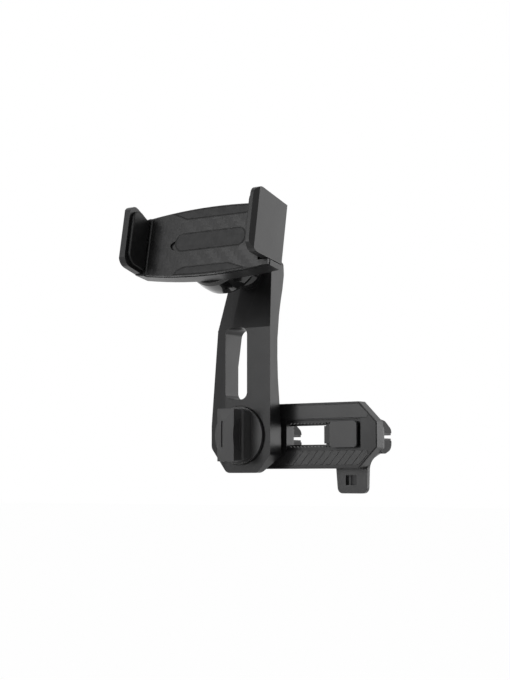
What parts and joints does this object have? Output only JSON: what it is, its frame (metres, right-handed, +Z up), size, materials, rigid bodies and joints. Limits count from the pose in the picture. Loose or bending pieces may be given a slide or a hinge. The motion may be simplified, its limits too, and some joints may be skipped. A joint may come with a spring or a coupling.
{
  "type": "car vent phone mount",
  "caption": "Sprung phone cradle on a ball joint, carried by a pivoting slotted arm and a rail with sliding vent-vane clips.",
  "frame": {"origin": "middle of the fixed clip, on the line of its vane slot, in the plane of the rail's back face", "axes": "+X along the rail to the moving clip, +Y away from the user into the vent, +Z up"},
  "size_m": [0.1092, 0.0747, 0.1404],
  "materials": {
    "shell": "fine matt black mouldings",
    "strip": "diagonal woven-look inlay",
    "rubber": "soft black rubber",
    "clip_plastic": "matt black, glass-filled",
    "gloss": "low-gloss black",
    "steel": "plated steel",
    "brass": "turned brass"
  },
  "bodies": {
    "rail": {"rail_shell": "shell", "rail_cover": "shell", "upper_strip": "strip", "lower_strip": "strip", "rail_screws": "steel", "fixed_clip": "clip_plastic", "fixed_clip_linings": "rubber", "pivot_bolt": "steel", "friction_washer": "steel"},
    "slider": {"slider_carriage": "shell", "ratchet_springs": "steel", "moving_clip": "clip_plastic", "moving_clip_linings": "rubber", "slider_screws": "steel", "button_spring": "steel"},
    "button": {"slide_button": "shell"},
    "arm": {"arm_beam": "shell", "pivot_bush": "brass", "ball_stud": "gloss", "stud_nut": "steel"},
    "knob": {"knob_body": "shell", "knob_insert": "brass"},
    "liner": {"ball_liner": "gloss"},
    "socket": {"socket_collet": "gloss"},
    "locking_ring": {"ring_nut": "gloss"},
    "cradle": {"rear_shell": "shell", "front_plate": "shell", "centre_pad": "rubber", "upper_pad": "rubber", "lower_pad": "rubber", "left_jaw_pad": "rubber", "cradle_screws": "steel", "guide_rods": "steel", "jaw_springs": "steel"},
    "jaw": {"right_jaw": "shell", "right_jaw_pad": "rubber"}
  },
  "joints": [
    {"name": "slider_slide", "type": "slide", "parent": "rail", "child": "slider", "axis": [1, 0, 0], "range_m": [-0.02, 0], "deforming": ["ratchet_springs"]},
    {"name": "button_press", "type": "slide", "parent": "slider", "child": "button", "axis": [0, 1, 0], "range_m": [0, 0.0008], "stiffness_N_per_m": 1500, "deforming": ["button_spring"]},
    {"name": "arm_swing", "type": "hinge", "parent": "rail", "child": "arm", "pos_m": [-0.012, 0, 0.0012], "axis": [0, 1, 0], "range_deg": [-180, 30]},
    {"name": "knob_turn", "type": "hinge", "parent": "rail", "child": "knob", "pos_m": [-0.012, 0, 0.0012], "axis": [0, 1, 0], "continuous": true},
    {"name": "ball_pitch", "type": "hinge", "parent": "arm", "child": "liner", "pos_m": [-0.012, -0.031, 0.0887], "axis": [1, 0, 0], "range_deg": [-25, 10]},
    {"name": "ball_yaw", "type": "hinge", "parent": "liner", "child": "socket", "pos_m": [-0.012, -0.031, 0.0887], "axis": [0, 0.1736, 0.9848], "range_deg": [-18, 18]},
    {"name": "ball_roll", "type": "hinge", "parent": "socket", "child": "cradle", "pos_m": [-0.012, -0.031, 0.0887], "axis": [0, 0.9848, -0.1736], "continuous": true},
    {"name": "ring_turn", "type": "hinge", "parent": "socket", "child": "locking_ring", "pos_m": [-0.012, -0.031, 0.0887], "axis": [0, 0.9848, -0.1736], "continuous": true},
    {"name": "jaw_slide", "type": "slide", "parent": "cradle", "child": "jaw", "axis": [1, 0, 0], "range_m": [0, 0.022], "stiffness_N_per_m": 160, "deforming": ["jaw_springs"]}
  ]
}
